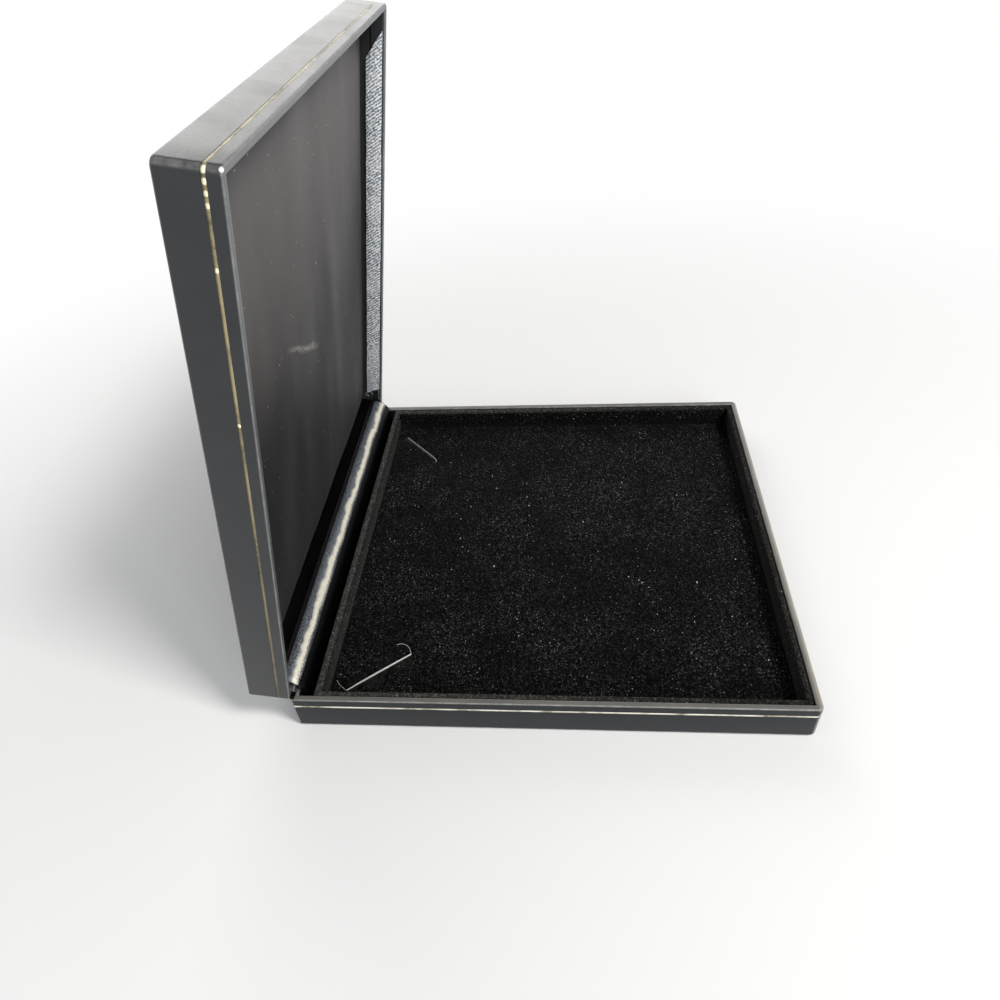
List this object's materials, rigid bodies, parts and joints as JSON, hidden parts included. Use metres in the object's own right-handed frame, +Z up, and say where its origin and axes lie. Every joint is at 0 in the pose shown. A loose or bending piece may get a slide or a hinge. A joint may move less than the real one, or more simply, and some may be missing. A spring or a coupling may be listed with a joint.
{
  "type": "jewellery presentation box",
  "caption": "Flat square leatherette jewellery box with a velvet tray and a satin-lined lid on snap hinges, standing open.",
  "frame": {"origin": "centre of the box's underside, on the face that it stands on", "axes": "+X along the hinge, +Y from the front edge to the hinge edge, +Z up"},
  "size_m": [0.19, 0.207, 0.2082],
  "materials": {
    "leatherette": "semi-gloss leatherette",
    "gilt_foil": "hot-stamped gilt line",
    "underside_paper": "matt black lining paper",
    "shell_board": "grey bookbinding board",
    "card": "light card",
    "velvet": "black display velvet",
    "wadding": "polyester wadding",
    "pad_satin": "dark satin",
    "lining_satin": "black satin with a silver sheen",
    "hinge_steel": "plated steel",
    "spring_steel": "blued spring steel"
  },
  "bodies": {
    "base": {"base_shell": "shell_board", "base_leatherette": "leatherette", "base_gilt_line": "gilt_foil", "underside_sheet": "underside_paper", "tray_frame_velvet": "velvet", "tray_frame_card": "card", "pad_foam": "wadding", "pad_board": "card", "pad_velvet": "velvet", "base_hinge_leaf_left": "hinge_steel", "hinge_pin_left": "hinge_steel", "bow_spring_left_outer": "spring_steel", "bow_spring_left_inner": "spring_steel", "base_hinge_leaf_right": "hinge_steel", "hinge_pin_right": "hinge_steel", "bow_spring_right_outer": "spring_steel", "bow_spring_right_inner": "spring_steel", "base_hinge_tack_1": "hinge_steel", "base_hinge_tack_2": "hinge_steel", "base_hinge_tack_3": "hinge_steel", "base_hinge_tack_4": "hinge_steel", "hinge_satin_roll": "lining_satin"},
    "lid": {"lid_shell": "shell_board", "lid_leatherette": "leatherette", "lid_gilt_line": "gilt_foil", "lid_lining_left": "lining_satin", "lid_lining_right": "lining_satin", "lid_lining_front": "lining_satin", "lid_lining_rear": "lining_satin", "lid_pad_board": "card", "lid_pad_wadding": "wadding", "lid_pad_satin": "pad_satin", "lid_hinge_leaf_left": "hinge_steel", "lid_hinge_leaf_right": "hinge_steel", "lid_hinge_tack_1": "hinge_steel", "lid_hinge_tack_2": "hinge_steel", "lid_hinge_tack_3": "hinge_steel", "lid_hinge_tack_4": "hinge_steel"}
  },
  "joints": [
    {"name": "lid_hinge", "type": "hinge", "parent": "base", "child": "lid", "pos_m": [0, 0.096, 0.0166], "axis": [1, 0, 0], "range_deg": [0, 79.8], "stiffness_Nm_per_rad": 0.02, "springref_deg": -91.67, "deforming": ["bow_spring_left_outer", "bow_spring_left_inner", "bow_spring_right_outer", "bow_spring_right_inner", "hinge_satin_roll"]}
  ]
}
